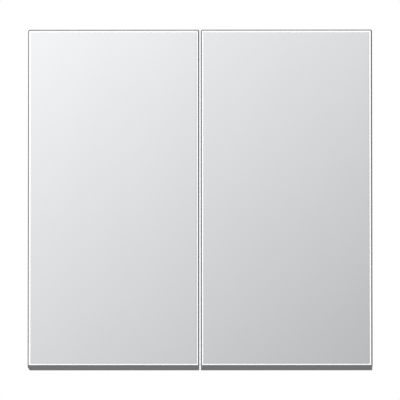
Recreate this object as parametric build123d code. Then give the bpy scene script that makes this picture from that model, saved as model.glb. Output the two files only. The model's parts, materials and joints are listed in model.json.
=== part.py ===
from build123d import *
import math
import os

# Two-door mirror cabinet, hung on a wall. Units are millimetres.
# +X is to the right, -Y is the front, +Z is up.
# The origin is the middle of the four wall holes, on the wall plane.

# Overall sizes
CABINET_WIDTH = 600.0
DOOR_FACE_HEIGHT = 585.7
DOOR_THICKNESS = 20.0
DOOR_GAP = 2.8
CARCASS_DEPTH = 117.5
CARCASS_HEIGHT = 572.0
HINGE_GAP = 2.5

# Carcass
BOARD = 15.0
BOARD_EDGE = 0.5
CARCASS_INSET = 7.0
BACK_THICKNESS = 4.0
REBATE_WIDTH = 8.0
REBATE_SLACK = 0.2
RAIL_HEIGHT = 60.0
RAIL_THICKNESS = 16.0
WALL_HOLE_RADIUS = 2.75
WALL_HOLE_X = 230.0
WALL_HOLE_Z = 240.0

# Shelves and their pins
SHELF_THICKNESS = 5.0
SHELF_DEPTH = 98.0
SHELF_SIDE_GAP = 1.0
SHELF_BACK_GAP = 1.0
SHELF_ROW_Z = 96.0
PIN_RADIUS = 2.5
PIN_IN_BOARD = 9.0
PIN_OUT = 8.0
PIN_COLLAR_RADIUS = 3.4
PIN_COLLAR = 0.7
PIN_ROW_Y = (-30.0, -88.0)
PIN_HOLE_PITCH = 32.0
PIN_HOLE_STEPS = 5
PIN_HOLE_DEPTH = 10.0
SHELF_CHAMFER = 0.6

# Room left around fastenings, and how far cutting tools reach past a face
BORE_SLACK = 0.06
BORE_END_SLACK = 0.5
OVERCUT = 1.0

# Hinges
KNUCKLE_RADIUS = 2.2
KNUCKLE_PITCH = 32.0
KNUCKLE_COUNT = 17
KNUCKLE_GAP = 0.4
HINGE_PIN_RADIUS = 1.0
HINGE_PIN_SLACK = 0.06
LEAF = 1.0
LEAF_WIDTH = 14.2
LEAF_CUTBACK = 2.6
LEAF_BRIDGE_LAP = 0.5
LEAF_HOLE_RUN = 2.0
FIXED_SCREW_SHANK = 14.0
MOVING_SCREW_SHANK = 5.0
HINGE_AXIS_INSET = 4.1
SCREW_HEAD_RADIUS = 2.6
SCREW_SHANK_RADIUS = 1.4
LEAF_SCREW_OFFSET = 9.9
LEAF_SCREW_COUNT = 8
LEAF_SCREW_PITCH = 64.0
RECESS_LENGTH = 3.0
RECESS_WIDTH = 0.6
RECESS_DEPTH = 0.8
RECESS_TURN = 20.0

# Door frame section
FRAME_WALL = 1.6
LIP_OUTER = 4.75
LIP_INNER = 3.9
LIP_TOP = 5.1
LIP_BOTTOM = 2.0
LIP_THICKNESS = 1.6
FLANGE_WIDTH = 22.0
FLANGE_THICKNESS = 2.4
EDGE_ROUND = 2.4
CORNER_ROUND = 3.0
MITRE_LENGTH = 40.0
MITRE_GAP = 0.12
COVER_FLANGE = 1.1
COVER_REACH = 1.5
COVER_END = 8.0
COVER_LAP = 3.0
KNUCKLE_ROOM = 0.35

# Door filling
GLASS = 4.0
GLASS_SLACK = 0.3
CORE = 9.0
PANEL = 3.0
FILL_INSET = 14.0
CLEAT_ARM = 36.0
CLEAT_WIDTH = 12.0
CLEAT_DEPTH = 11.4
CLEAT_SLACK = 0.1

# Finger pull under each door
PULL_HEIGHT = 9.2
PULL_SETBACK = 0.3
PULL_FLANGE = 1.5
PULL_BLADE = 2.0
PULL_RUN = 9.4
PULL_BACK = 16.0
PULL_LEFT_TRIM = 4.2
PULL_LEFT_TRIM_START = 3.6
PULL_RIGHT_TRIM = 0.7
PULL_RIGHT_TRIM_START = 0.2
PULL_TRIM_TOP = 0.02
PULL_ROUND = 0.7
PULL_SCREW_X = (60.0, 149.3, 238.6)
PULL_SCREW_Y = 10.5
PULL_SCREW_HEAD_RADIUS = 2.4
PULL_SCREW_SHANK = 6.0
PULL_SCREW_HOLE = 8.0

# Latches and bumpers
MAGNET_RADIUS = 4.0
MAGNET_LENGTH = 14.0
SLEEVE_RADIUS = 5.0
SLEEVE_RIM = 1.2
SLEEVE_FLOOR = 1.0
MAGNET_PROUD = 1.1
STRIKE_RADIUS = 6.5
STRIKE = 1.0
CATCH_X = 30.0
BUMPER_RADIUS = 5.0
BUMPER = 2.1
BUMPER_X = 62.0
BUMPER_ROUND = 0.8

# Meeting seal
SEAL_WIDTH = 2.48
SEAL_DEPTH = 5.0
SEAL_SETBACK = 1.0
SEAL_END = 1.5
SEAL_ROUND = 0.3

# Cam fittings between the boards
CAM_RADIUS = 7.5
CAM_DEPTH = 12.0
CAM_INSET = 24.0
CAM_SLOT_LENGTH = 9.0
CAM_SLOT_WIDTH = 1.6
CAM_SLOT_DEPTH = 2.0
CAM_WEB = 1.0
CAM_BOLT_RADIUS = 3.0
CAM_BOLT_HEAD_RADIUS = 3.5
CAM_BOLT_HEAD = 2.0
CAM_BOLT_IN_CAM = 4.0
CAM_BOLT_IN_SIDE = 11.0
CAM_BOLT_ROOM = 0.1
CAM_POCKET_RADIUS = 3.9
CAM_BOLT_BORE_RADIUS = 3.6
DOWEL_RADIUS = 4.0
DOWEL_IN_SIDE = 9.0
DOWEL_IN_END = 20.0
CAM_Y = (-24.0, -94.0)
DOWEL_Y = -59.0

# Nails through the back board
NAIL_RADIUS = 0.8
NAIL_HEAD_RADIUS = 2.0
NAIL_HEAD = 0.5
NAIL_LENGTH = 18.0
NAIL_COUNT = 6
NAIL_PITCH = 104.0

# Longer than any section, for tools that cut right through
THROUGH = 300.0

HALF_WIDTH = CABINET_WIDTH / 2
CARCASS_HALF = HALF_WIDTH - CARCASS_INSET
INNER_HALF = CARCASS_HALF - BOARD
CARCASS_TOP = CARCASS_HEIGHT / 2
INNER_TOP = CARCASS_TOP - BOARD
CARCASS_FRONT = -CARCASS_DEPTH
DOOR_BACK = CARCASS_FRONT - HINGE_GAP
DOOR_FRONT = DOOR_BACK - DOOR_THICKNESS
DOOR_TOP = DOOR_FACE_HEIGHT / 2
DOOR_INNER = DOOR_GAP / 2
AXIS_X = HALF_WIDTH - HINGE_AXIS_INSET
AXIS_Y = CARCASS_FRONT - HINGE_GAP / 2
LATCH_Z = CARCASS_TOP - BOARD / 2
HINGE_TOP = KNUCKLE_PITCH * KNUCKLE_COUNT / 2


def block(x0, x1, y0, y1, z0, z1):
    """A box between two corners."""
    size = (abs(x1 - x0), abs(y1 - y0), abs(z1 - z0))
    return Pos((x0 + x1) / 2, (y0 + y1) / 2, (z0 + z1) / 2) * Box(*size)


def board_block(x0, x1, y0, y1, z0, z1):
    """A board between two corners, with every edge slightly rounded."""
    board = block(x0, x1, y0, y1, z0, z1)
    return fillet(board.edges(), BOARD_EDGE)


def rod_x(radius, x0, x1, y, z):
    """A round bar along X."""
    return Pos((x0 + x1) / 2, y, z) * Rot(0, 90, 0) * Cylinder(radius, abs(x1 - x0))


def rod_y(radius, y0, y1, x, z):
    """A round bar along Y."""
    return Pos(x, (y0 + y1) / 2, z) * Rot(90, 0, 0) * Cylinder(radius, abs(y1 - y0))


def rod_z(radius, z0, z1, x, y):
    """A round bar along Z."""
    return Pos(x, y, (z0 + z1) / 2) * Cylinder(radius, abs(z1 - z0))


def join(pieces):
    """Fuse a list of solids into one."""
    whole = pieces[0]
    for piece in pieces[1:]:
        whole = whole + piece
    return whole


def cut_all(solid, tools):
    """Cut a list of tools out of a solid."""
    for tool in tools:
        solid = solid - tool
    return solid


def group(pieces):
    """Keep separate solids together in one part."""
    solids = []
    for piece in pieces:
        solids.extend(piece.solids())
    return Compound(children=solids)


def save(part, name):
    """Write one sub-part."""
    export_step(part, os.path.join("parts", name + ".step"))


def flip(part):
    """The same sub-part for the right door or side."""
    return mirror(part, about=Plane.YZ)


# ---------------------------------------------------------------- carcass

def leaf_screw_heights():
    """Heights of the screws along one hinge leaf."""
    first = -LEAF_SCREW_PITCH * (LEAF_SCREW_COUNT - 1) / 2
    return [first + i * LEAF_SCREW_PITCH for i in range(LEAF_SCREW_COUNT)]


def pin_hole_heights():
    """Heights of the shelf-pin holes."""
    return [i * PIN_HOLE_PITCH for i in range(-PIN_HOLE_STEPS, PIN_HOLE_STEPS + 1)]


def side_panel():
    """Left side board with its rebate, pin holes and fitting bores."""
    board = board_block(-CARCASS_HALF, -INNER_HALF, CARCASS_FRONT, 0, -CARCASS_TOP, CARCASS_TOP)
    rebate_top = INNER_TOP + REBATE_WIDTH
    tools = [block(-INNER_HALF - REBATE_WIDTH, -INNER_HALF + OVERCUT, -BACK_THICKNESS, OVERCUT,
                   -rebate_top, rebate_top)]
    for z in pin_hole_heights():
        for y in PIN_ROW_Y:
            tools.append(rod_x(PIN_RADIUS + BORE_SLACK, -INNER_HALF - PIN_HOLE_DEPTH,
                               -INNER_HALF + OVERCUT, y, z))
    screw_x = -AXIS_X + LEAF_SCREW_OFFSET
    for z in leaf_screw_heights():
        tools.append(rod_y(SCREW_SHANK_RADIUS + BORE_SLACK, CARCASS_FRONT - OVERCUT,
                           CARCASS_FRONT + FIXED_SCREW_SHANK + BORE_END_SLACK, screw_x, z))
    for z in (-LATCH_Z, LATCH_Z):
        for y in CAM_Y:
            tools.append(rod_x(CAM_BOLT_RADIUS + BORE_SLACK,
                               -INNER_HALF - CAM_BOLT_IN_SIDE - CAM_BOLT_ROOM,
                               -INNER_HALF + OVERCUT, y, z))
        tools.append(rod_x(DOWEL_RADIUS + BORE_SLACK, -INNER_HALF - DOWEL_IN_SIDE - BORE_END_SLACK,
                           -INNER_HALF + OVERCUT, DOWEL_Y, z))
    tools.extend(nail(x, z, BORE_SLACK) for x, z in nail_places() if x < -INNER_HALF)
    return cut_all(board, tools)


def flat_panel():
    """Top board with its rear rebate, cam and dowel bores and magnet bores."""
    board = board_block(-INNER_HALF, INNER_HALF, CARCASS_FRONT, 0, INNER_TOP, CARCASS_TOP)
    tools = [block(-INNER_HALF - OVERCUT, INNER_HALF + OVERCUT, -BACK_THICKNESS, OVERCUT,
                   INNER_TOP - OVERCUT, INNER_TOP + REBATE_WIDTH)]
    for side in (-1, 1):
        end = side * INNER_HALF
        for y in CAM_Y:
            tools.append(rod_z(CAM_RADIUS + BORE_SLACK, CARCASS_TOP - CAM_DEPTH,
                               CARCASS_TOP + OVERCUT, end - side * CAM_INSET, y))
            tools.append(rod_x(CAM_BOLT_BORE_RADIUS, end - side * CAM_INSET,
                               end + side * OVERCUT, y, LATCH_Z))
        tools.append(rod_x(DOWEL_RADIUS + BORE_SLACK, end - side * (DOWEL_IN_END + BORE_END_SLACK),
                           end + side * OVERCUT, DOWEL_Y, LATCH_Z))
        tools.append(rod_y(SLEEVE_RADIUS + BORE_SLACK, CARCASS_FRONT - OVERCUT,
                           CARCASS_FRONT + MAGNET_LENGTH + SLEEVE_FLOOR + BORE_END_SLACK,
                           side * CATCH_X, LATCH_Z))
    tools.extend(nail(x, z, BORE_SLACK) for x, z in nail_places() if z > INNER_TOP)
    return cut_all(board, tools)


def back_panel():
    """Thin back board in the rear rebates, with the wall holes and nail holes."""
    half_x = INNER_HALF + REBATE_WIDTH - REBATE_SLACK
    half_z = INNER_TOP + REBATE_WIDTH - REBATE_SLACK
    board = block(-half_x, half_x, -BACK_THICKNESS, 0, -half_z, half_z)
    tools = [nail(x, z, BORE_SLACK) for x, z in nail_places()]
    for x in (-WALL_HOLE_X, WALL_HOLE_X):
        for z in (-WALL_HOLE_Z, WALL_HOLE_Z):
            tools.append(rod_y(WALL_HOLE_RADIUS, -BACK_THICKNESS - OVERCUT, OVERCUT, x, z))
    return cut_all(board, tools)


def nail_places():
    """Places of the nails, in the middle of the rebates all round."""
    first = -NAIL_PITCH * (NAIL_COUNT - 1) / 2
    row_x = INNER_HALF + REBATE_WIDTH / 2
    row_z = INNER_TOP + REBATE_WIDTH / 2
    places = []
    for i in range(NAIL_COUNT):
        along = first + i * NAIL_PITCH
        places.extend([(-row_x, along), (row_x, along), (along, -row_z), (along, row_z)])
    return places


def nail(x, z, slack):
    """A flat-headed nail driven forwards, its head flush with the back."""
    head = rod_y(NAIL_HEAD_RADIUS + slack, -NAIL_HEAD, 0, x, z)
    return head + rod_y(NAIL_RADIUS + slack, -NAIL_LENGTH, -NAIL_HEAD, x, z)


def nails():
    """All the nails of the back board."""
    return group([nail(x, z, 0) for x, z in nail_places()])


def wall_rail():
    """Upper hanging rail inside the back, with two wall holes."""
    rail = board_block(-INNER_HALF, INNER_HALF, -BACK_THICKNESS - RAIL_THICKNESS,
                       -BACK_THICKNESS, INNER_TOP - RAIL_HEIGHT, INNER_TOP)
    tools = []
    for x in (-WALL_HOLE_X, WALL_HOLE_X):
        tools.append(rod_y(WALL_HOLE_RADIUS, -BACK_THICKNESS - RAIL_THICKNESS - OVERCUT,
                           OVERCUT, x, WALL_HOLE_Z))
    return cut_all(rail, tools)


def glass_shelf(pin_z):
    """Glass shelf lying on the pins of one row height."""
    half = INNER_HALF - SHELF_SIDE_GAP
    back = -BACK_THICKNESS - SHELF_BACK_GAP
    low = pin_z + PIN_RADIUS
    plate = block(-half, half, back - SHELF_DEPTH, back, low, low + SHELF_THICKNESS)
    return chamfer(plate.edges().filter_by(Axis.X), SHELF_CHAMFER)


def shelf_pin(y, z):
    """Left shelf pin with a small collar against the board."""
    stem = rod_x(PIN_RADIUS, -INNER_HALF - PIN_IN_BOARD, -INNER_HALF + PIN_OUT, y, z)
    collar = rod_x(PIN_COLLAR_RADIUS, -INNER_HALF, -INNER_HALF + PIN_COLLAR, y, z)
    return stem + collar


def shelf_pins():
    """All eight shelf pins."""
    pins = []
    for z in (-SHELF_ROW_Z, SHELF_ROW_Z):
        for y in PIN_ROW_Y:
            pins.append(shelf_pin(y, z))
            pins.append(flip(shelf_pin(y, z)))
    return group(pins)


def cam_bolts():
    """Bolts from the side boards into the cams."""
    bolts = []
    for z in (-LATCH_Z, LATCH_Z):
        for y in CAM_Y:
            tip = -INNER_HALF + CAM_INSET - CAM_RADIUS + CAM_BOLT_IN_CAM
            stem = rod_x(CAM_BOLT_RADIUS, -INNER_HALF - CAM_BOLT_IN_SIDE, tip - CAM_BOLT_HEAD, y, z)
            head = rod_x(CAM_BOLT_HEAD_RADIUS, tip - CAM_BOLT_HEAD, tip, y, z)
            bolts.append(stem + head)
            bolts.append(flip(stem + head))
    return group(bolts)


def cam(y):
    """One eccentric cam in the upper left corner, with a cross slot and a bolt pocket."""
    x = -INNER_HALF + CAM_INSET
    body = rod_z(CAM_RADIUS, CARCASS_TOP - CAM_DEPTH, CARCASS_TOP, x, y)
    pocket = rod_x(CAM_POCKET_RADIUS, x - CAM_RADIUS - OVERCUT, x - CAM_WEB, y, LATCH_Z)
    half_long = CAM_SLOT_LENGTH / 2
    half_wide = CAM_SLOT_WIDTH / 2
    slot_floor = CARCASS_TOP - CAM_SLOT_DEPTH
    slot_long = block(x - half_long, x + half_long, y - half_wide, y + half_wide,
                      slot_floor, CARCASS_TOP + OVERCUT)
    slot_cross = block(x - half_wide, x + half_wide, y - half_long, y + half_long,
                       slot_floor, CARCASS_TOP + OVERCUT)
    return cut_all(body, [pocket, slot_long, slot_cross])


def cams():
    """All eight cams."""
    every = []
    for y in CAM_Y:
        one = cam(y)
        for top in (one, mirror(one, about=Plane.XY)):
            every.append(top)
            every.append(flip(top))
    return group(every)


def dowels():
    """Wooden dowels between side boards and flat boards."""
    every = []
    for z in (-LATCH_Z, LATCH_Z):
        one = rod_x(DOWEL_RADIUS, -INNER_HALF - DOWEL_IN_SIDE, -INNER_HALF + DOWEL_IN_END,
                    DOWEL_Y, z)
        every.append(one)
        every.append(flip(one))
    return group(every)


def catch_sleeves():
    """Plastic sleeves in the front edges of the flat boards."""
    every = []
    front = CARCASS_FRONT - MAGNET_PROUD
    for z in (-LATCH_Z, LATCH_Z):
        for x in (-CATCH_X, CATCH_X):
            tube = rod_y(SLEEVE_RADIUS, front, CARCASS_FRONT + MAGNET_LENGTH + SLEEVE_FLOOR, x, z)
            rim = rod_y(SLEEVE_RADIUS + SLEEVE_RIM, front, CARCASS_FRONT, x, z)
            bore = rod_y(MAGNET_RADIUS + BORE_SLACK, front - OVERCUT, front + MAGNET_LENGTH, x, z)
            every.append(tube + rim - bore)
    return group(every)


def catch_magnets():
    """Round magnets inside the sleeves."""
    every = []
    front = CARCASS_FRONT - MAGNET_PROUD
    for z in (-LATCH_Z, LATCH_Z):
        for x in (-CATCH_X, CATCH_X):
            every.append(rod_y(MAGNET_RADIUS, front, front + MAGNET_LENGTH, x, z))
    return group(every)


# ---------------------------------------------------------------- hinges

def knuckle_spans(first):
    """Height ranges of every second knuckle."""
    spans = []
    for i in range(first, KNUCKLE_COUNT, 2):
        low = -HINGE_TOP + i * KNUCKLE_PITCH + KNUCKLE_GAP / 2
        spans.append((low, low + KNUCKLE_PITCH - KNUCKLE_GAP))
    return spans


def hinge_leaf(plate_near, plate_far, first):
    """One hinge leaf on the left, plate and knuckles, with countersunk holes."""
    x = -AXIS_X
    low = min(plate_near, plate_far)
    high = max(plate_near, plate_far)
    pieces = [block(x + LEAF_CUTBACK, x + LEAF_CUTBACK + LEAF_WIDTH, low, high,
                    -HINGE_TOP, HINGE_TOP)]
    for z0, z1 in knuckle_spans(first):
        barrel = rod_z(KNUCKLE_RADIUS, z0, z1, x, AXIS_Y)
        bridge = block(x, x + LEAF_CUTBACK + LEAF_BRIDGE_LAP, low, high, z0, z1)
        pieces.append(barrel + bridge)
    leaf = join(pieces)
    tools = [rod_z(HINGE_PIN_RADIUS + HINGE_PIN_SLACK, -HINGE_TOP - OVERCUT,
                   HINGE_TOP + OVERCUT, x, AXIS_Y)]
    for z in leaf_screw_heights():
        tools.append(countersunk_screw(x + LEAF_SCREW_OFFSET, z, plate_near, plate_far,
                                       LEAF_HOLE_RUN, BORE_SLACK))
    return cut_all(leaf, tools)


def cross_recess():
    """Two crossed bars about the origin, reaching the recess depth above and below it."""
    long_bar = Box(RECESS_LENGTH, RECESS_WIDTH, 2 * RECESS_DEPTH)
    return long_bar + Box(RECESS_WIDTH, RECESS_LENGTH, 2 * RECESS_DEPTH)


def countersunk_screw(x, z, head_y, far_y, shank, slack):
    """A flat-head screw along Y; the cone lies between head_y and far_y."""
    direction = 1 if far_y > head_y else -1
    turn = -90 if direction > 0 else 90
    cone = Pos(x, (head_y + far_y) / 2, z) * Rot(turn, 0, 0) * Cone(
        SCREW_HEAD_RADIUS + slack, SCREW_SHANK_RADIUS + slack, abs(far_y - head_y))
    stem = rod_y(SCREW_SHANK_RADIUS + slack, far_y, far_y + direction * shank, x, z)
    return cone + stem


def leaf_screw(z, head_y, far_y, shank):
    """One screw of a left hinge leaf, with its cross recess."""
    x = -AXIS_X + LEAF_SCREW_OFFSET
    place = Pos(x, head_y, z) * Rot(90, 0, 0) * Rot(0, 0, RECESS_TURN)
    return countersunk_screw(x, z, head_y, far_y, shank, 0) - place * cross_recess()


def hinge_pin():
    """Left hinge pin through every knuckle."""
    return rod_z(HINGE_PIN_RADIUS, -HINGE_TOP, HINGE_TOP, -AXIS_X, AXIS_Y)


def carcass_leaf():
    """Left leaf on the front edge of the side board."""
    return hinge_leaf(CARCASS_FRONT - LEAF, CARCASS_FRONT, 0)


def door_leaf():
    """Left leaf on the back of the door frame."""
    return hinge_leaf(DOOR_BACK + LEAF, DOOR_BACK, 1)


def carcass_hinge_screws():
    """Screws through both fixed leaves into the side boards."""
    every = []
    for z in leaf_screw_heights():
        one = leaf_screw(z, CARCASS_FRONT - LEAF, CARCASS_FRONT, FIXED_SCREW_SHANK)
        every.append(one)
        every.append(flip(one))
    return group(every)


def door_hinge_screws():
    """Screws through the moving leaf into the left door frame."""
    every = []
    for z in leaf_screw_heights():
        every.append(leaf_screw(z, DOOR_BACK + LEAF, DOOR_BACK, MOVING_SCREW_SHANK))
    return group(every)


# ---------------------------------------------------------------- doors

def frame_ring():
    """Whole frame of the left door before it is cut into four lengths."""
    outer = block(-HALF_WIDTH, -DOOR_INNER, DOOR_FRONT, DOOR_BACK, -DOOR_TOP, DOOR_TOP)
    corners = [edge for edge in outer.edges().filter_by(Axis.Y) if edge.center().Z > 0]
    outer = fillet(corners, CORNER_ROUND)
    front_edges = outer.faces().sort_by(Axis.Y)[0].edges()
    rounded = [edge for edge in front_edges if edge.center().Z > -DOOR_TOP + LIP_BOTTOM / 2]
    outer = fillet(rounded, EDGE_ROUND)
    wall = FRAME_WALL
    pocket = block(-HALF_WIDTH + wall, -DOOR_INNER - wall, DOOR_FRONT + LIP_THICKNESS,
                   DOOR_BACK - FLANGE_THICKNESS, -DOOR_TOP + wall, DOOR_TOP - wall)
    window = block(-HALF_WIDTH + LIP_OUTER, -DOOR_INNER - LIP_INNER, DOOR_FRONT - OVERCUT,
                   DOOR_FRONT + DOOR_THICKNESS / 2, -DOOR_TOP + LIP_BOTTOM, DOOR_TOP - LIP_TOP)
    inside = block(-HALF_WIDTH + FLANGE_WIDTH, -DOOR_INNER - FLANGE_WIDTH,
                   DOOR_FRONT + DOOR_THICKNESS / 2, DOOR_BACK + OVERCUT,
                   -DOOR_TOP + FLANGE_WIDTH, DOOR_TOP - FLANGE_WIDTH)
    return cut_all(outer, [pocket, window, inside])


def cover_flange():
    """Flange that stands behind the hinge stile and hides the knuckles from the side."""
    return block(-HALF_WIDTH, -HALF_WIDTH + COVER_FLANGE, DOOR_BACK - COVER_LAP,
                 AXIS_Y + COVER_REACH, -DOOR_TOP + COVER_END, DOOR_TOP - COVER_END)


def mitre_wedge(side):
    """Outline that keeps one frame length, cut at 45 degrees at both ends."""
    x0 = -HALF_WIDTH
    x1 = -DOOR_INNER
    z0 = -DOOR_TOP
    z1 = DOOR_TOP
    m = MITRE_LENGTH
    g = MITRE_GAP / math.sqrt(2)
    if side == "outer":
        points = [(x0, z0 + g), (x0 + m, z0 + m + g), (x0 + m, z1 - m - g), (x0, z1 - g)]
    elif side == "inner":
        points = [(x1, z0 + g), (x1, z1 - g), (x1 - m, z1 - m - g), (x1 - m, z0 + m + g)]
    elif side == "top":
        points = [(x0 + g, z1), (x0 + m + g, z1 - m), (x1 - m - g, z1 - m), (x1 - g, z1)]
    else:
        points = [(x0 + g, z0), (x1 - g, z0), (x1 - m - g, z0 + m), (x0 + m + g, z0 + m)]
    with BuildSketch(Plane.XZ) as sketch:
        with BuildLine():
            Polyline(*points, close=True)
        make_face()
    return extrude(sketch.sketch, amount=THROUGH, both=True)


def pull_screw_positions():
    """X positions of the finger-pull screws on the left door."""
    return [-HALF_WIDTH + x for x in PULL_SCREW_X]


def frame_lengths():
    """The four frame lengths of the left door."""
    ring = frame_ring()
    knuckle_room = rod_z(KNUCKLE_RADIUS + KNUCKLE_ROOM, -DOOR_TOP + COVER_END,
                         DOOR_TOP - COVER_END, -AXIS_X, AXIS_Y)
    outer = (ring & mitre_wedge("outer")) + cover_flange()
    outer = outer - knuckle_room
    for z in leaf_screw_heights():
        outer = outer - rod_y(SCREW_SHANK_RADIUS + BORE_SLACK,
                              DOOR_BACK - MOVING_SCREW_SHANK - BORE_END_SLACK,
                              DOOR_BACK + OVERCUT, -AXIS_X + LEAF_SCREW_OFFSET, z)
    inner = ring & mitre_wedge("inner")
    top = ring & mitre_wedge("top")
    bottom = ring & mitre_wedge("bottom")
    for x in pull_screw_positions():
        bottom = bottom - rod_z(SCREW_SHANK_RADIUS + BORE_SLACK, -DOOR_TOP - OVERCUT,
                                -DOOR_TOP + PULL_SCREW_HOLE, x, DOOR_FRONT + PULL_SCREW_Y)
    return {"outer": outer, "inner": inner, "top": top, "bottom": bottom}


def fill_block(y0, y1, inset):
    """A plate in the frame pocket, held off its walls by an inset."""
    x0 = -HALF_WIDTH + FRAME_WALL + inset
    x1 = -DOOR_INNER - FRAME_WALL - inset
    top = DOOR_TOP - FRAME_WALL - inset
    return block(x0, x1, y0, y1, -top, top)


def mirror_pane():
    """Mirror glass behind the front lip."""
    front = DOOR_FRONT + LIP_THICKNESS
    return fill_block(front, front + GLASS, GLASS_SLACK)


def core_board():
    """Light core between the mirror and the inner panel."""
    front = DOOR_FRONT + LIP_THICKNESS + GLASS
    return fill_block(front, front + CORE, FILL_INSET)


def inner_panel():
    """White inner panel seen when the door is open."""
    front = DOOR_FRONT + LIP_THICKNESS + GLASS + CORE
    return fill_block(front, front + PANEL, FILL_INSET)


def corner_cleats():
    """Four L-shaped cleats in the mitred corners."""
    back = DOOR_BACK - FLANGE_THICKNESS - CLEAT_SLACK
    front = back - CLEAT_DEPTH
    x0 = -HALF_WIDTH + FRAME_WALL + CLEAT_SLACK
    x1 = -DOOR_INNER - FRAME_WALL - CLEAT_SLACK
    top = DOOR_TOP - FRAME_WALL - CLEAT_SLACK
    every = []
    for corner_x, step in ((x0, 1), (x1, -1)):
        for up in (-1, 1):
            corner_z = up * top
            across = block(corner_x, corner_x + step * CLEAT_ARM, front, back,
                           corner_z, corner_z - up * CLEAT_WIDTH)
            down = block(corner_x, corner_x + step * CLEAT_WIDTH, front, back,
                         corner_z, corner_z - up * CLEAT_ARM)
            every.append(across + down)
    return group(every)


def finger_pull(trim_start, trim):
    """Dark slanted rail under the left door, held by its top flange."""
    top = -DOOR_TOP
    low = top - PULL_HEIGHT
    y0 = DOOR_FRONT + PULL_SETBACK
    slope = math.atan2(PULL_RUN, PULL_HEIGHT)
    side_y = PULL_BLADE / math.cos(slope)
    side_z = PULL_BLADE * math.sin(slope)
    tip_y = y0 + PULL_RUN
    inner_y = y0 + side_y + PULL_FLANGE * math.tan(slope)
    points = [
        (y0, top),
        (tip_y, low),
        (tip_y + PULL_BLADE * math.cos(slope), low + side_z),
        (inner_y, top - PULL_FLANGE),
        (y0 + PULL_BACK, top - PULL_FLANGE),
        (y0 + PULL_BACK, top),
    ]
    with BuildSketch(Plane.YZ) as sketch:
        with BuildLine():
            Polyline(*points, close=True)
        make_face()
    rail = Pos(-HALF_WIDTH, 0, 0) * extrude(sketch.sketch, amount=HALF_WIDTH - DOOR_INNER)
    tip_z = (low + top) / 2
    lower = [edge for edge in rail.edges().filter_by(Axis.X) if edge.center().Z < tip_z]
    rail = fillet(lower, PULL_ROUND)
    rail = rail - end_trim(trim_start, trim)
    for x in pull_screw_positions():
        rail = rail - pull_screw(x, BORE_SLACK)
    return rail


def end_trim(start, trim):
    """Slanted cut that takes the lower corner off the outer end of the finger pull."""
    x = -HALF_WIDTH
    top = -DOOR_TOP - start
    low = -DOOR_TOP - PULL_HEIGHT - OVERCUT
    points = [
        (x - OVERCUT, top),
        (x + PULL_TRIM_TOP, top),
        (x + trim, low),
        (x - OVERCUT, low),
    ]
    with BuildSketch(Plane.XZ) as sketch:
        with BuildLine():
            Polyline(*points, close=True)
        make_face()
    return extrude(sketch.sketch, amount=THROUGH, both=True)


def pull_screw(x, slack):
    """Flat-head screw up through the flange of the finger pull."""
    y = DOOR_FRONT + PULL_SCREW_Y
    head_z = -DOOR_TOP - PULL_FLANGE
    cone = Pos(x, y, (head_z - DOOR_TOP) / 2) * Cone(
        PULL_SCREW_HEAD_RADIUS + slack, SCREW_SHANK_RADIUS + slack, PULL_FLANGE)
    return cone + rod_z(SCREW_SHANK_RADIUS + slack, -DOOR_TOP, -DOOR_TOP + PULL_SCREW_SHANK, x, y)


def pull_screws():
    """Three screws of the left finger pull, with their cross recesses."""
    every = []
    for x in pull_screw_positions():
        place = Pos(x, DOOR_FRONT + PULL_SCREW_Y, -DOOR_TOP - PULL_FLANGE)
        every.append(pull_screw(x, 0) - place * cross_recess())
    return group(every)


def meeting_seal():
    """Soft white strip on the meeting edge of the left door."""
    front = DOOR_FRONT + SEAL_SETBACK
    top = DOOR_TOP - SEAL_END
    strip = block(-DOOR_INNER, -DOOR_INNER + SEAL_WIDTH, front, front + SEAL_DEPTH, -top, top)
    free_edges = strip.faces().sort_by(Axis.X)[-1].edges().filter_by(Axis.Z)
    return fillet(free_edges, SEAL_ROUND)


def strike_discs():
    """Steel discs on the back of the left door, facing the magnets."""
    every = []
    for z in (-LATCH_Z, LATCH_Z):
        every.append(rod_y(STRIKE_RADIUS, DOOR_BACK, DOOR_BACK + STRIKE, -CATCH_X, z))
    return group(every)


def bumpers():
    """Soft dots on the back of the left door."""
    every = []
    for z in (-LATCH_Z, LATCH_Z):
        dot = rod_y(BUMPER_RADIUS, DOOR_BACK, DOOR_BACK + BUMPER, -BUMPER_X, z)
        rim = dot.faces().sort_by(Axis.Y)[-1].edges()
        every.append(fillet(rim, BUMPER_ROUND))
    return group(every)


def save_carcass():
    """Write every fixed sub-part."""
    left = side_panel()
    save(left, "side_left")
    save(flip(left), "side_right")
    top = flat_panel()
    save(top, "top_board")
    save(mirror(top, about=Plane.XY), "bottom_board")
    save(back_panel(), "back_board")
    save(nails(), "back_board_nails")
    upper = wall_rail()
    save(upper, "wall_rail_upper")
    save(mirror(upper, about=Plane.XY), "wall_rail_lower")
    save(glass_shelf(SHELF_ROW_Z), "glass_shelf_upper")
    save(glass_shelf(-SHELF_ROW_Z), "glass_shelf_lower")
    save(shelf_pins(), "shelf_pins")
    save(cams(), "cam_locks")
    save(cam_bolts(), "cam_bolts")
    save(dowels(), "wood_dowels")
    save(catch_sleeves(), "catch_sleeves")
    save(catch_magnets(), "catch_magnets")
    fixed_leaf = carcass_leaf()
    save(fixed_leaf, "left_hinge_fixed_leaf")
    save(flip(fixed_leaf), "right_hinge_fixed_leaf")
    save(hinge_pin(), "left_hinge_pin")
    save(flip(hinge_pin()), "right_hinge_pin")
    save(carcass_hinge_screws(), "fixed_leaf_screws")


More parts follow.
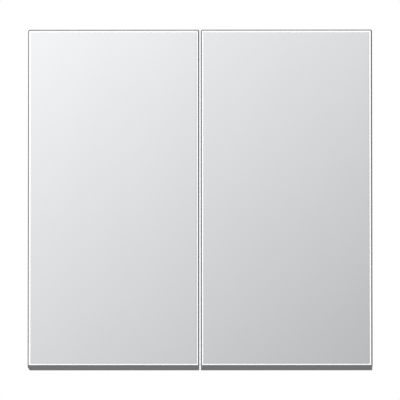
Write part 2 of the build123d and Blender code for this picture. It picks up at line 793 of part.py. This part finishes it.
def save_doors():
    """Write the sub-parts of both doors."""
    shared = {
        "mirror_pane": mirror_pane(),
        "core_board": core_board(),
        "inner_panel": inner_panel(),
        "corner_cleats": corner_cleats(),
        "pull_screws": pull_screws(),
        "strike_discs": strike_discs(),
        "bumpers": bumpers(),
        "hinge_moving_leaf": door_leaf(),
        "moving_leaf_screws": door_hinge_screws(),
    }
    for name, length in frame_lengths().items():
        shared["frame_" + name] = length
    for name, part in shared.items():
        save(part, "left_" + name)
        save(flip(part), "right_" + name)
    save(finger_pull(PULL_LEFT_TRIM_START, PULL_LEFT_TRIM), "left_finger_pull")
    save(flip(finger_pull(PULL_RIGHT_TRIM_START, PULL_RIGHT_TRIM)), "right_finger_pull")
    save(meeting_seal(), "left_meeting_seal")


os.makedirs("parts", exist_ok=True)
save_carcass()
save_doors()
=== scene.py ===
import json
import math

import bmesh
import bpy
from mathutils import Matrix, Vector


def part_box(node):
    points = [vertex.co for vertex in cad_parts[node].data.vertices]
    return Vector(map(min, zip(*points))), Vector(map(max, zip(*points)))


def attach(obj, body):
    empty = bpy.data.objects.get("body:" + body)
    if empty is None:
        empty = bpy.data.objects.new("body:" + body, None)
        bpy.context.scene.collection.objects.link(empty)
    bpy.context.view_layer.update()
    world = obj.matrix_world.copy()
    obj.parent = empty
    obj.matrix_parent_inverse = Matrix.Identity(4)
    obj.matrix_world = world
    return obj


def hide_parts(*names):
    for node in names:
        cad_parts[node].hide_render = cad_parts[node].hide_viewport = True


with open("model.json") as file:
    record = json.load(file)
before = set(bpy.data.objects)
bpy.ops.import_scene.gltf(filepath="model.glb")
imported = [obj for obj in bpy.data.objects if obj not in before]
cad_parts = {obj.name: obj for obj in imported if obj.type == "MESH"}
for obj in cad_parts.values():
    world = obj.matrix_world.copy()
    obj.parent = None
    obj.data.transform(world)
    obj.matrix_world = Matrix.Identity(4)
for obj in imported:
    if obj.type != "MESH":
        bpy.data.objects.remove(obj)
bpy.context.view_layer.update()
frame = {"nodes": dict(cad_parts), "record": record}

# ------------------------------------------------------------------ view
# The camera stands far off, a little below and slightly to the right.
VIEW_DISTANCE = 11.8
VIEW_PITCH = math.radians(-4.0)
VIEW_YAW = math.radians(0.5)
VIEW_WIDTH = 0.6967
VIEW_CENTRE = Vector((-0.0001, -0.14, -0.00525))
SENSOR = 36.0
CLIP_NEAR = 0.1
CLIP_FAR = 2000.0

# ------------------------------------------------------------- door edges
# Painted shade: a faint darkening in each mirror, next to its right and lower lip.
# It is strongest where it ends, which is so far in from the door's right edge and from its lower
# edge.
PAINTED_SHADE_END_RIGHT = 0.0048
PAINTED_SHADE_END_LOW = 0.0020
PAINTED_EDGE_SHADE_WIDTH = 0.0035
PAINTED_EDGE_SHADE_SHARE = 0.16
PAINTED_EDGE_SHADE_TONE = (0.55, 0.56, 0.57, 1.0)
# A painted highlight: the bright front finish runs this far round the lip's edges, less on its
# right side and more on its left by the lean, as if lit from the left.
LIP_PAINTED_HIGHLIGHT_LEAN = math.radians(4.0)
LIP_PAINTED_HIGHLIGHT_SPREAD = math.radians(11.0)
LIP_BLUR = 0.012
# Brushed lines to the metre, across them and along them.
BRUSH_FINE = 2600.0
BRUSH_LONG = 30.0

# Tone of the darker patches in plastic and rubber, as a share of the full tone.
CLOUD_TONE = 0.96

# ------------------------------------------------------------ meeting seal
# The seal reaches to SEAL_CLEARANCE from the other door, and its free edges
# are rounded by SEAL_ROUND.
SEAL_CLEARANCE = 0.00008
SEAL_ROUND = 0.0003
SEAL_ROUND_STEPS = 6

# ------------------------------------------------------------------ studio
FLOOR_Z = -1.25
FLOOR_HALF = 300.0
# Tone of the surroundings below the horizon, like that of the lit floor.
FLOOR_SHINE = 0.75
KEY_PLACE = Vector((-2.6, -3.0, 2.8))
KEY_AIM = Vector((0.0, -0.05, 0.0))
KEY_SIZE = 2.4
KEY_POWER = 55.0
# Tones of the surroundings: in front, overhead, behind, and from the left
# (0) to the right (1) in between.
FRONT_GLOW = 1.25
OVERHEAD_TONE = (0.85, 0.85, 0.86, 1.0)
BEHIND_TONE = (1.0, 1.0, 1.0, 1.0)
SIDE_TONES = [
    (0.0, (1.0, 1.0, 1.0)),
    (0.35, (0.95, 0.95, 0.95)),
    (0.65, (0.52, 0.52, 0.53)),
    (1.0, (0.20, 0.20, 0.21)),
]

# The slanted fade that the mirrors show: half the width and height of the
# mirrored faces, how much of the fade runs across and how much down, and its
# screen values from their upper left corner (0) to their lower right one (1),
# with one more value beyond either end. Each value is tinted slightly cool.
# From FADE_INNER to FADE_OUTER off its middle it gives way to the surroundings.
FADE_HALF_X = 0.295
FADE_HALF_Z = 0.287
FADE_ACROSS = 0.465
FADE_DOWN = 0.535
FADE_VALUES = ((0.0, 252), (0.25, 238), (0.5, 223.5), (0.75, 208), (1.0, 191))
FADE_FIRST = 253
FADE_LAST = 186
FADE_MARGIN = 0.1
FADE_TINT = (0.992, 1.0, 1.01)
FADE_INNER = 0.045
FADE_OUTER = 0.16

scene = bpy.context.scene


def srgb(value):
    """Linear light of a screen value from 0 to 255."""
    share = value / 255.0
    if share <= 0.04045:
        return share / 12.92
    return ((share + 0.055) / 1.055) ** 2.4


# ------------------------------------------------------------ node helpers

class Nodes:
    """A small helper for wiring one node tree."""

    def __init__(self, tree):
        self.tree = tree
        tree.nodes.clear()

    def add(self, kind, **settings):
        node = self.tree.nodes.new(kind)
        for key, value in settings.items():
            setattr(node, key, value)
        return node

    def link(self, out_socket, in_socket):
        self.tree.links.new(out_socket, in_socket)

    def feed(self, socket, value):
        """Set a socket, or link it if value is another socket."""
        if isinstance(value, bpy.types.NodeSocket):
            self.link(value, socket)
        elif value is not None:
            socket.default_value = value

    def math(self, kind, a, b=None, c=None):
        """One arithmetic step on up to three values."""
        node = self.add("ShaderNodeMath", operation=kind)
        self.feed(node.inputs[0], a)
        self.feed(node.inputs[1], b)
        self.feed(node.inputs[2], c)
        return node.outputs[0]

    def vary(self, value, base, swing):
        """A value that starts at base and moves by swing as value goes from 0 to 1."""
        return self.math("MULTIPLY_ADD", value, swing, base)

    def smooth(self, value, low, high, out_low=0.0, out_high=1.0):
        """A soft step from out_low to out_high, as the value goes from low to high."""
        node = self.add("ShaderNodeMapRange", interpolation_type="SMOOTHSTEP")
        self.feed(node.inputs["Value"], value)
        node.inputs["From Min"].default_value = low
        node.inputs["From Max"].default_value = high
        node.inputs["To Min"].default_value = out_low
        node.inputs["To Max"].default_value = out_high
        return node.outputs[0]

    def ramp(self, value, stops):
        """A colour that follows the value through a list of (place, colour) stops."""
        node = self.add("ShaderNodeValToRGB")
        self.feed(node.inputs[0], value)
        elements = node.color_ramp.elements
        while len(elements) > 1:
            elements.remove(elements[-1])
        elements[0].position = stops[0][0]
        elements[0].color = (*stops[0][1], 1.0)
        for place, colour in stops[1:]:
            element = elements.new(place)
            element.color = (*colour, 1.0)
        return node.outputs["Color"]

    def mix(self, share, a, b):
        """Colour a blended into colour b. The numbers are the mix node's colour sockets."""
        node = self.add("ShaderNodeMix", data_type="RGBA")
        self.feed(node.inputs[0], share)
        self.feed(node.inputs[6], a)
        self.feed(node.inputs[7], b)
        return node.outputs[2]

    def noise(self, vector, scale, detail=3.0, rough=0.5):
        """Cloudy noise, with about scale patches to the metre."""
        node = self.add("ShaderNodeTexNoise")
        self.feed(node.inputs["Vector"], vector)
        node.inputs["Scale"].default_value = scale
        node.inputs["Detail"].default_value = detail
        node.inputs["Roughness"].default_value = rough
        return node.outputs["Fac"]

    def stretched(self, vector, scale):
        """The point with a scale of its own on each axis."""
        node = self.add("ShaderNodeMapping")
        self.feed(node.inputs["Vector"], vector)
        node.inputs["Scale"].default_value = scale
        return node.outputs["Vector"]

    def bump(self, height, strength, distance):
        """A surface normal disturbed by the height, at most distance metres deep."""
        node = self.add("ShaderNodeBump")
        node.inputs["Strength"].default_value = strength
        node.inputs["Distance"].default_value = distance
        self.link(height, node.inputs["Height"])
        return node.outputs["Normal"]


def material(name):
    """A new material, its node helper and its principled shader."""
    mat = bpy.data.materials.new(name)
    mat.use_nodes = True
    nodes = Nodes(mat.node_tree)
    shader = nodes.add("ShaderNodeBsdfPrincipled")
    out = nodes.add("ShaderNodeOutputMaterial")
    nodes.link(shader.outputs[0], out.inputs[0])
    coords = nodes.add("ShaderNodeTexCoord")
    return mat, nodes, shader, coords


def dress(obj, mat):
    """Give an object one material."""
    obj.data.materials.clear()
    obj.data.materials.append(mat)


# --------------------------------------------------------------- materials

def frame_metal(name, along):
    """Bright satin front lip with a painted highlight wrapping further round its left edges,
    rounding darkened with painted shade, brushed sides. along is the brushing axis.
    """
    mat, nodes, shader, coords = material(name)
    point = coords.outputs["Object"]
    scale = [BRUSH_FINE, BRUSH_FINE, BRUSH_FINE]
    scale[along] = BRUSH_LONG
    brush = nodes.noise(nodes.stretched(point, scale), scale=1.0, detail=4.0, rough=0.6)
    cloud = nodes.noise(point, scale=22.0, detail=2.0)
    split = nodes.add("ShaderNodeSeparateXYZ")
    nodes.link(coords.outputs["Normal"], split.inputs[0])
    facing = nodes.math("MULTIPLY", split.outputs["Y"], -1.0)
    # Painted highlight: the bright front mask leans to the left, so it wraps further round
    # left-facing edges.
    ahead = nodes.math("MULTIPLY", facing, math.cos(LIP_PAINTED_HIGHLIGHT_LEAN))
    highlight_leaning = nodes.math("MULTIPLY_ADD", split.outputs["X"], -math.sin(LIP_PAINTED_HIGHLIGHT_LEAN), ahead)
    limit = math.cos(LIP_PAINTED_HIGHLIGHT_SPREAD)
    front = nodes.smooth(highlight_leaning, limit - LIP_BLUR, limit + LIP_BLUR)
    not_front = nodes.math("SUBTRACT", 1.0, front)
    # Painted shade: the rounded edges between lip and sides get a near-black tone and a duller
    # finish.
    painted_shade_rounding = nodes.smooth(facing, low=0.01, high=0.12)
    edge_tone = nodes.ramp(brush, [(0.25, (0.13, 0.133, 0.137)), (0.75, (0.17, 0.173, 0.177))])
    flat_tone = nodes.ramp(brush, [(0.25, (0.46, 0.465, 0.47)), (0.75, (0.55, 0.555, 0.56))])
    side_tone = nodes.mix(painted_shade_rounding, flat_tone, edge_tone)
    front_tone = nodes.ramp(cloud, [(0.2, (0.955, 0.96, 0.965)), (0.8, (0.985, 0.985, 0.99))])
    nodes.link(nodes.mix(front, side_tone, front_tone), shader.inputs["Base Color"])
    dark = nodes.math("MULTIPLY", painted_shade_rounding, not_front)
    nodes.link(nodes.vary(dark, base=1.0, swing=-0.35), shader.inputs["Metallic"])
    rough = nodes.vary(brush, base=0.30, swing=0.10)
    rough = nodes.vary(front, base=rough, swing=0.22)
    nodes.link(nodes.vary(dark, base=rough, swing=0.2), shader.inputs["Roughness"])
    shader.inputs["Specular IOR Level"].default_value = 0.25
    lines = nodes.math("MULTIPLY", brush, not_front)
    nodes.link(nodes.bump(lines, strength=0.2, distance=0.00001), shader.inputs["Normal"])
    return mat


def mirror_glass(name, shade_end_right, shade_end_low):
    """Silvered glass with the faintest cleaning haze and painted shade along two edges."""
    mat, nodes, shader, coords = material(name)
    point = coords.outputs["Object"]
    haze = nodes.noise(point, scale=7.0, detail=5.0, rough=0.55)
    streak = nodes.noise(nodes.stretched(point, (3.0, 3.0, 26.0)), scale=1.0, detail=3.0)
    tone = nodes.ramp(haze, [(0.3, (0.925, 0.93, 0.935)), (0.7, (0.935, 0.94, 0.945))])
    place = nodes.add("ShaderNodeSeparateXYZ")
    nodes.link(point, place.inputs[0])
    # Painted shade: the glass is darkened in bands along its right and lower lip.
    shade_beside = nodes.smooth(place.outputs["X"], shade_end_right - PAINTED_EDGE_SHADE_WIDTH, shade_end_right)
    below = nodes.smooth(place.outputs["Z"], shade_end_low + PAINTED_EDGE_SHADE_WIDTH, shade_end_low)
    painted_edge_shade = nodes.math("MULTIPLY", nodes.math("MAXIMUM", shade_beside, below), PAINTED_EDGE_SHADE_SHARE)
    nodes.link(nodes.mix(painted_edge_shade, tone, PAINTED_EDGE_SHADE_TONE), shader.inputs["Base Color"])
    shader.inputs["Metallic"].default_value = 1.0
    nodes.link(nodes.vary(streak, base=0.004, swing=0.012), shader.inputs["Roughness"])
    return mat


def dark_pull():
    """Dark anodised metal with fine lengthwise lines."""
    mat, nodes, shader, coords = material("dark_pull")
    point = coords.outputs["Object"]
    lengthwise = nodes.stretched(point, (20.0, 2200.0, 2200.0))
    brush = nodes.noise(lengthwise, scale=1.0, detail=3.0, rough=0.6)
    tone = nodes.ramp(brush, [(0.25, (0.180, 0.180, 0.185)), (0.75, (0.208, 0.208, 0.213))])
    nodes.link(tone, shader.inputs["Base Color"])
    shader.inputs["Metallic"].default_value = 0.6
    nodes.link(nodes.vary(brush, base=0.42, swing=0.15), shader.inputs["Roughness"])
    nodes.link(nodes.bump(brush, strength=0.2, distance=0.00002), shader.inputs["Normal"])
    return mat


def white_board():
    """White melamine face with a fine pebbled skin and faint handling marks."""
    mat, nodes, shader, coords = material("white_board")
    point = coords.outputs["Object"]
    pebble = nodes.noise(point, scale=1400.0, detail=2.0, rough=0.5)
    cloud = nodes.noise(point, scale=9.0, detail=4.0, rough=0.6)
    tone = nodes.ramp(cloud, [(0.25, (0.80, 0.80, 0.79)), (0.75, (0.84, 0.84, 0.83))])
    nodes.link(tone, shader.inputs["Base Color"])
    nodes.link(nodes.vary(cloud, base=0.33, swing=0.18), shader.inputs["Roughness"])
    nodes.link(nodes.bump(pebble, strength=0.35, distance=0.00004), shader.inputs["Normal"])
    return mat


def back_board():
    """Hardboard: painted white in front, bare fibre brown behind."""
    mat, nodes, shader, coords = material("back_board")
    point = coords.outputs["Object"]
    split = nodes.add("ShaderNodeSeparateXYZ")
    nodes.link(coords.outputs["Normal"], split.inputs[0])
    rear = nodes.smooth(split.outputs["Y"], low=0.3, high=0.6)
    fibre = nodes.noise(point, scale=260.0, detail=6.0, rough=0.7)
    weave = nodes.noise(nodes.stretched(point, (900.0, 900.0, 1100.0)), scale=1.0, detail=2.0)
    brown = nodes.ramp(fibre, [(0.25, (0.36, 0.25, 0.16)), (0.75, (0.50, 0.37, 0.25))])
    white = nodes.ramp(fibre, [(0.25, (0.80, 0.80, 0.79)), (0.75, (0.83, 0.83, 0.82))])
    nodes.link(nodes.mix(rear, white, brown), shader.inputs["Base Color"])
    shader.inputs["Roughness"].default_value = 0.6
    nodes.link(nodes.bump(weave, strength=0.4, distance=0.00006), shader.inputs["Normal"])
    return mat


def shelf_glass():
    """Clear glass, greener and less clear at its ground edges."""
    mat, nodes, shader, coords = material("shelf_glass")
    point = coords.outputs["Object"]
    split = nodes.add("ShaderNodeSeparateXYZ")
    nodes.link(coords.outputs["Normal"], split.inputs[0])
    flat = nodes.smooth(nodes.math("ABSOLUTE", split.outputs["Z"]), low=0.85, high=0.97)
    smear = nodes.noise(point, scale=18.0, detail=4.0)
    edge_tone = (0.28, 0.56, 0.47, 1.0)
    face_tone = (0.90, 0.97, 0.95, 1.0)
    nodes.link(nodes.mix(flat, edge_tone, face_tone), shader.inputs["Base Color"])
    nodes.link(nodes.vary(smear, base=0.01, swing=0.03), shader.inputs["Roughness"])
    shader.inputs["IOR"].default_value = 1.5
    shader.inputs["Transmission Weight"].default_value = 0.9
    return mat


def plated_steel(name, tone, dirt, rough):
    """Plated metal with a cloudy crystalline skin."""
    mat, nodes, shader, coords = material(name)
    point = coords.outputs["Object"]
    cloud = nodes.noise(point, scale=160.0, detail=5.0, rough=0.65)
    fine = nodes.noise(point, scale=1500.0, detail=2.0)
    nodes.link(nodes.ramp(cloud, [(0.25, dirt), (0.75, tone)]), shader.inputs["Base Color"])
    shader.inputs["Metallic"].default_value = 1.0
    nodes.link(nodes.vary(cloud, base=rough, swing=0.2), shader.inputs["Roughness"])
    nodes.link(nodes.bump(fine, strength=0.2, distance=0.00002), shader.inputs["Normal"])
    return mat


def soft_plastic(name, tone, rough, see_through=0.0):
    """Moulded plastic or rubber with a fine skin."""
    mat, nodes, shader, coords = material(name)
    point = coords.outputs["Object"]
    cloud = nodes.noise(point, scale=60.0, detail=4.0)
    fine = nodes.noise(point, scale=900.0, detail=2.0)
    darker = tuple(part * CLOUD_TONE for part in tone)
    nodes.link(nodes.ramp(cloud, [(0.25, darker), (0.75, tone)]), shader.inputs["Base Color"])
    nodes.link(nodes.vary(fine, base=rough, swing=0.12), shader.inputs["Roughness"])
    shader.inputs["Transmission Weight"].default_value = see_through
    nodes.link(nodes.bump(fine, strength=0.25, distance=0.00003), shader.inputs["Normal"])
    return mat


def plain_wood(name, dark, light):
    """Wood with a lengthwise grain."""
    mat, nodes, shader, coords = material(name)
    point = coords.outputs["Object"]
    lengthwise = nodes.stretched(point, (12.0, 240.0, 240.0))
    grain = nodes.noise(lengthwise, scale=1.0, detail=6.0, rough=0.6)
    nodes.link(nodes.ramp(grain, [(0.3, dark), (0.7, light)]), shader.inputs["Base Color"])
    nodes.link(nodes.vary(grain, base=0.5, swing=0.2), shader.inputs["Roughness"])
    nodes.link(nodes.bump(grain, strength=0.3, distance=0.0001), shader.inputs["Normal"])
    return mat


def pane_glass(side):
    """Mirror glass whose painted edge shade ends beside one door's right and lower lip."""
    inner_low, inner_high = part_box(side + "_frame_inner")
    outer_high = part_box(side + "_frame_outer")[1]
    shade_end_right = max(inner_high[0], outer_high[0]) - PAINTED_SHADE_END_RIGHT
    return mirror_glass(side + "_mirror_glass", shade_end_right, inner_low[2] + PAINTED_SHADE_END_LOW)


FRAME_UP = frame_metal("frame_metal_upright", 2)
FRAME_ACROSS = frame_metal("frame_metal_across", 0)
LOOKS = {
    "dark_pull": dark_pull(),
    "white_board": white_board(),
    "white_panel": white_board(),
    "back_board": back_board(),
    "shelf_glass": shelf_glass(),
    "hinge_metal": plated_steel("hinge_metal", (0.66, 0.66, 0.65), (0.56, 0.56, 0.55), rough=0.24),
    "pin_steel": plated_steel("pin_steel", (0.55, 0.55, 0.56), (0.42, 0.42, 0.43), rough=0.3),
    "zinc": plated_steel("zinc", (0.62, 0.64, 0.66), (0.47, 0.49, 0.52), rough=0.28),
    "nickel": plated_steel("nickel", (0.72, 0.71, 0.68), (0.60, 0.59, 0.56), rough=0.18),
    "magnet": plated_steel("magnet", (0.16, 0.16, 0.17), (0.09, 0.09, 0.10), rough=0.45),
    "white_plastic": soft_plastic("white_plastic", (0.82, 0.82, 0.81), rough=0.35),
    "white_rubber": soft_plastic("white_rubber", (0.99, 0.99, 0.985), rough=0.6),
    "clear_rubber": soft_plastic("clear_rubber", (0.86, 0.87, 0.86), rough=0.2, see_through=0.6),
    "core": plain_wood("core", (0.55, 0.44, 0.31), (0.70, 0.58, 0.43)),
    "beech": plain_wood("beech", (0.58, 0.41, 0.26), (0.74, 0.56, 0.38)),
}


def dress_nodes():
    """Give every node of the frame the look of its material slot."""
    slots = {entry["node"]: entry["material_slot"] for entry in frame["record"]["subparts"]}
    for node, obj in frame["nodes"].items():
        if slots[node] == "frame_metal":
            upright = node.endswith("outer") or node.endswith("inner")
            dress(obj, FRAME_UP if upright else FRAME_ACROSS)
        elif slots[node] == "mirror":
            dress(obj, pane_glass(node.split("_")[0]))
        else:
            dress(obj, LOOKS[slots[node]])


# --------------------------------------------------------------- soft seal

def seal_profile(low, high):
    """Outline across the seal: flat against its own door, rounded on the free side."""
    round_x = high[0] - SEAL_ROUND
    outline = [(low[0], low[1])]
    for corner_y, start in ((low[1] + SEAL_ROUND, -90.0), (high[1] - SEAL_ROUND, 0.0)):
        for step in range(SEAL_ROUND_STEPS + 1):
            turn = math.radians(start + 90.0 * step / SEAL_ROUND_STEPS)
            outline.append((round_x + SEAL_ROUND * math.cos(turn),
                            corner_y + SEAL_ROUND * math.sin(turn)))
    outline.append((low[0], high[1]))
    return outline


def seal_mesh(low, high):
    """The seal's outline run from its lower end to its upper end, with eased ends."""
    shape = bmesh.new()
    levels = (
        (low[2], SEAL_ROUND),
        (low[2] + SEAL_ROUND, 0.0),
        (high[2] - SEAL_ROUND, 0.0),
        (high[2], SEAL_ROUND),
    )
    rings = []
    for z, inset in levels:
        ring = []
        for x, y in seal_profile(low, high):
            eased = x - inset if x > low[0] else x
            ring.append(shape.verts.new((eased, y, z)))
        rings.append(ring)
    for below, above in zip(rings, rings[1:]):
        for i, vert in enumerate(below):
            after = (i + 1) % len(below)
            shape.faces.new((vert, below[after], above[after], above[i]))
    shape.faces.new(list(reversed(rings[0])))
    shape.faces.new(rings[-1])
    bmesh.ops.recalc_face_normals(shape, faces=shape.faces)
    mesh = bpy.data.meshes.new("meeting_seal")
    shape.to_mesh(mesh)
    shape.free()
    return mesh


def meeting_seal():
    """Soft strip on the left door that reaches to just short of the right door's edge."""
    low, high = (list(corner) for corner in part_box("left_meeting_seal"))
    high[0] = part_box("right_frame_inner")[0][0] - SEAL_CLEARANCE
    obj = bpy.data.objects.new("meeting_seal", seal_mesh(low, high))
    scene.collection.objects.link(obj)
    dress(obj, LOOKS["white_rubber"])
    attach(obj, "left_door")
    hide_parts("left_meeting_seal")


# ------------------------------------------------------------------ studio

def key_light():
    """Large soft light from the upper left, in front of the cabinet."""
    data = bpy.data.lights.new("key", "AREA")
    data.shape = "DISK"
    data.size = KEY_SIZE
    data.energy = KEY_POWER
    obj = bpy.data.objects.new("key", data)
    scene.collection.objects.link(obj)
    obj.location = KEY_PLACE
    obj.rotation_euler = (KEY_AIM - KEY_PLACE).to_track_quat("-Z", "Y").to_euler()


def floor():
    """Plain pale floor, well below the hung cabinet."""
    mesh = bpy.data.meshes.new("floor")
    half = FLOOR_HALF
    around = ((-half, -half), (half, -half), (half, half), (-half, half))
    corners = [(x, y, FLOOR_Z) for x, y in around]
    mesh.from_pydata(corners, [], [(0, 1, 2, 3)])
    obj = bpy.data.objects.new("floor", mesh)
    scene.collection.objects.link(obj)
    mat, nodes, shader, coords = material("floor")
    cloud = nodes.noise(coords.outputs["Object"], scale=3.0, detail=3.0)
    tone = nodes.ramp(cloud, [(0.2, (0.80, 0.80, 0.80)), (0.8, (0.82, 0.82, 0.82))])
    nodes.link(tone, shader.inputs["Base Color"])
    shader.inputs["Roughness"].default_value = 0.7
    dress(obj, mat)


def fade_tone(nodes, across, up):
    """Tone of the slanted fade, and how far the direction is from its middle."""
    reach = VIEW_DISTANCE * math.cos(VIEW_PITCH)
    shift = VIEW_DISTANCE * math.sin(VIEW_YAW)
    rise = -math.tan(VIEW_PITCH)
    left = (-FADE_HALF_X - shift) / reach
    right = (FADE_HALF_X - shift) / reach
    top = rise + FADE_HALF_Z / reach
    bottom = rise - FADE_HALF_Z / reach
    share_x = nodes.math("DIVIDE", nodes.math("SUBTRACT", across, left), right - left)
    share_z = nodes.math("DIVIDE", nodes.math("SUBTRACT", top, up), top - bottom)
    part_x = nodes.math("MULTIPLY", share_x, FADE_ACROSS)
    part_z = nodes.math("MULTIPLY", share_z, FADE_DOWN)
    fade = nodes.math("ADD", part_x, part_z)
    span = 1.0 - 2.0 * FADE_MARGIN
    stops = [(0.0, (srgb(FADE_FIRST),) * 3)]
    for place, value in FADE_VALUES:
        colour = tuple(srgb(value) * part for part in FADE_TINT)
        stops.append((FADE_MARGIN + span * place, colour))
    stops.append((1.0, (srgb(FADE_LAST),) * 3))
    tone = nodes.ramp(nodes.vary(fade, base=FADE_MARGIN, swing=span), stops)
    off_x = nodes.math("SUBTRACT", across, (left + right) / 2)
    off_z = nodes.math("SUBTRACT", up, (top + bottom) / 2)
    squares = nodes.math("ADD", nodes.math("POWER", off_x, 2.0), nodes.math("POWER", off_z, 2.0))
    return tone, nodes.math("SQRT", squares)


def open_tone(nodes, split):
    """Tone of the surroundings outside the fade: bright ahead, dimmer to the right."""
    sideways = nodes.ramp(nodes.vary(split.outputs["X"], base=0.5, swing=0.5), SIDE_TONES)
    overhead = nodes.smooth(split.outputs["Z"], low=0.2, high=0.9)
    around = nodes.mix(overhead, sideways, OVERHEAD_TONE)
    behind = nodes.smooth(split.outputs["Y"], low=0.70, high=0.95)
    sky = nodes.mix(behind, around, BEHIND_TONE)
    front = nodes.smooth(nodes.math("MULTIPLY", split.outputs["Y"], -1.0), low=0.1, high=0.9)
    sky = nodes.mix(front, sky, (FRONT_GLOW, FRONT_GLOW, FRONT_GLOW, 1.0))
    above = nodes.smooth(split.outputs["Z"], low=0.0, high=0.038)
    return nodes.mix(above, (FLOOR_SHINE, FLOOR_SHINE, FLOOR_SHINE, 1.0), sky)


def studio_world():
    """Even white surroundings with one soft slanted fade in front of the mirrors."""
    world = bpy.data.worlds.new("studio")
    scene.world = world
    world.use_nodes = True
    nodes = Nodes(world.node_tree)
    coords = nodes.add("ShaderNodeTexCoord")
    split = nodes.add("ShaderNodeSeparateXYZ")
    nodes.link(coords.outputs["Generated"], split.inputs[0])
    ahead = nodes.math("MAXIMUM", nodes.math("MULTIPLY", split.outputs["Y"], -1.0), 0.001)
    across = nodes.math("DIVIDE", split.outputs["X"], ahead)
    up = nodes.math("DIVIDE", split.outputs["Z"], ahead)
    tone, off = fade_tone(nodes, across, up)
    inside = nodes.smooth(off, FADE_INNER, FADE_OUTER, 1.0, 0.0)
    facing = nodes.smooth(split.outputs["Y"], low=-0.5, high=-0.9)
    shade = nodes.mix(nodes.math("MULTIPLY", inside, facing), open_tone(nodes, split), tone)
    back = nodes.add("ShaderNodeBackground")
    nodes.link(shade, back.inputs["Color"])
    back.inputs["Strength"].default_value = 1.0
    out = nodes.add("ShaderNodeOutputWorld")
    nodes.link(back.outputs[0], out.inputs[0])


def camera():
    """Far camera that frames the doors as wide as they are in the view."""
    data = bpy.data.cameras.new("camera")
    obj = bpy.data.objects.new("camera", data)
    scene.collection.objects.link(obj)
    data.sensor_width = SENSOR
    data.lens = SENSOR * VIEW_DISTANCE / VIEW_WIDTH
    data.clip_start = CLIP_NEAR
    data.clip_end = CLIP_FAR
    level = math.cos(VIEW_PITCH)
    out = Vector((
        math.sin(VIEW_YAW) * level,
        -math.cos(VIEW_YAW) * level,
        math.sin(VIEW_PITCH),
    ))
    obj.location = VIEW_CENTRE + out * VIEW_DISTANCE
    obj.rotation_euler = (-out).to_track_quat("-Z", "Y").to_euler()
    scene.camera = obj


dress_nodes()
meeting_seal()
floor()
studio_world()
key_light()
camera()
scene.view_settings.view_transform = "Standard"
scene.view_settings.look = "None"
